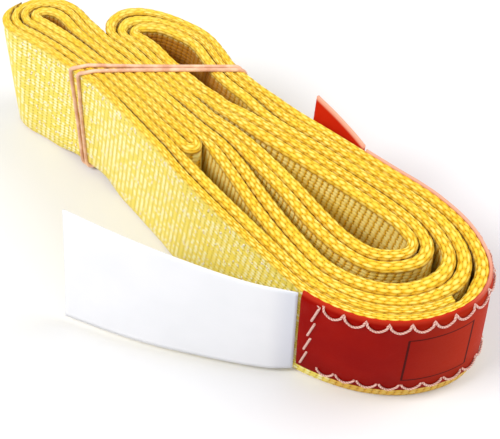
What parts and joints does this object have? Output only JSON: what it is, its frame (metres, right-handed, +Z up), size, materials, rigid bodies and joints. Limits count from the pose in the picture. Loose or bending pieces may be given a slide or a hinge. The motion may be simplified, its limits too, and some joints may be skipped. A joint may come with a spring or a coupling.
{
  "type": "endless web sling",
  "caption": "Flat woven lifting sling folded on edge into a compact bundle, held by a doubled rubber band, with a sewn wrap-round tag, its free tail and a loose blank label.",
  "frame": {"origin": "Middle of the part's footprint, on the surface that the webbing's lower edge stands on.", "axes": "+X along the folded bundle to the tagged end, +Y to the back, away from the loose label, +Z up, across the webbing's width."},
  "size_m": [0.1014, 0.0522, 0.0261],
  "materials": {
    "webbing": "woven polyester, satin",
    "splice_thread": "pale heavy thread",
    "tag": "soft vinyl, slight sheen",
    "tag_thread": "white thread",
    "label": "smooth white",
    "band": "tan rubber"
  },
  "bodies": {
    "sling": {"webbing": "webbing", "splice_thread_1": "splice_thread", "splice_thread_2": "splice_thread", "splice_thread_3": "splice_thread", "splice_thread_4": "splice_thread", "rating_tag": "tag", "tag_stitch_upper": "tag_thread", "tag_stitch_lower": "tag_thread", "tag_stitch_front": "tag_thread", "tag_stitch_back": "tag_thread"},
    "label": {"plain_label": "label"},
    "tail": {"tag_tail": "tag"},
    "band": {"rubber_band": "band"}
  },
  "joints": [
    {"name": "label_hinge", "type": "hinge", "parent": "sling", "child": "label", "pos_m": [0.03057, -0.00417, 0.0132], "axis": [0, 0, 1], "range_deg": [-15, 75]},
    {"name": "tail_hinge", "type": "hinge", "parent": "sling", "child": "tail", "pos_m": [0.01779, 0.02358, 0.0141], "axis": [0, 0, 1], "range_deg": [-90, 10]},
    {"name": "band_slide", "type": "slide", "parent": "sling", "child": "band", "axis": [1, 0, 0], "range_m": [0, 0.003]}
  ]
}
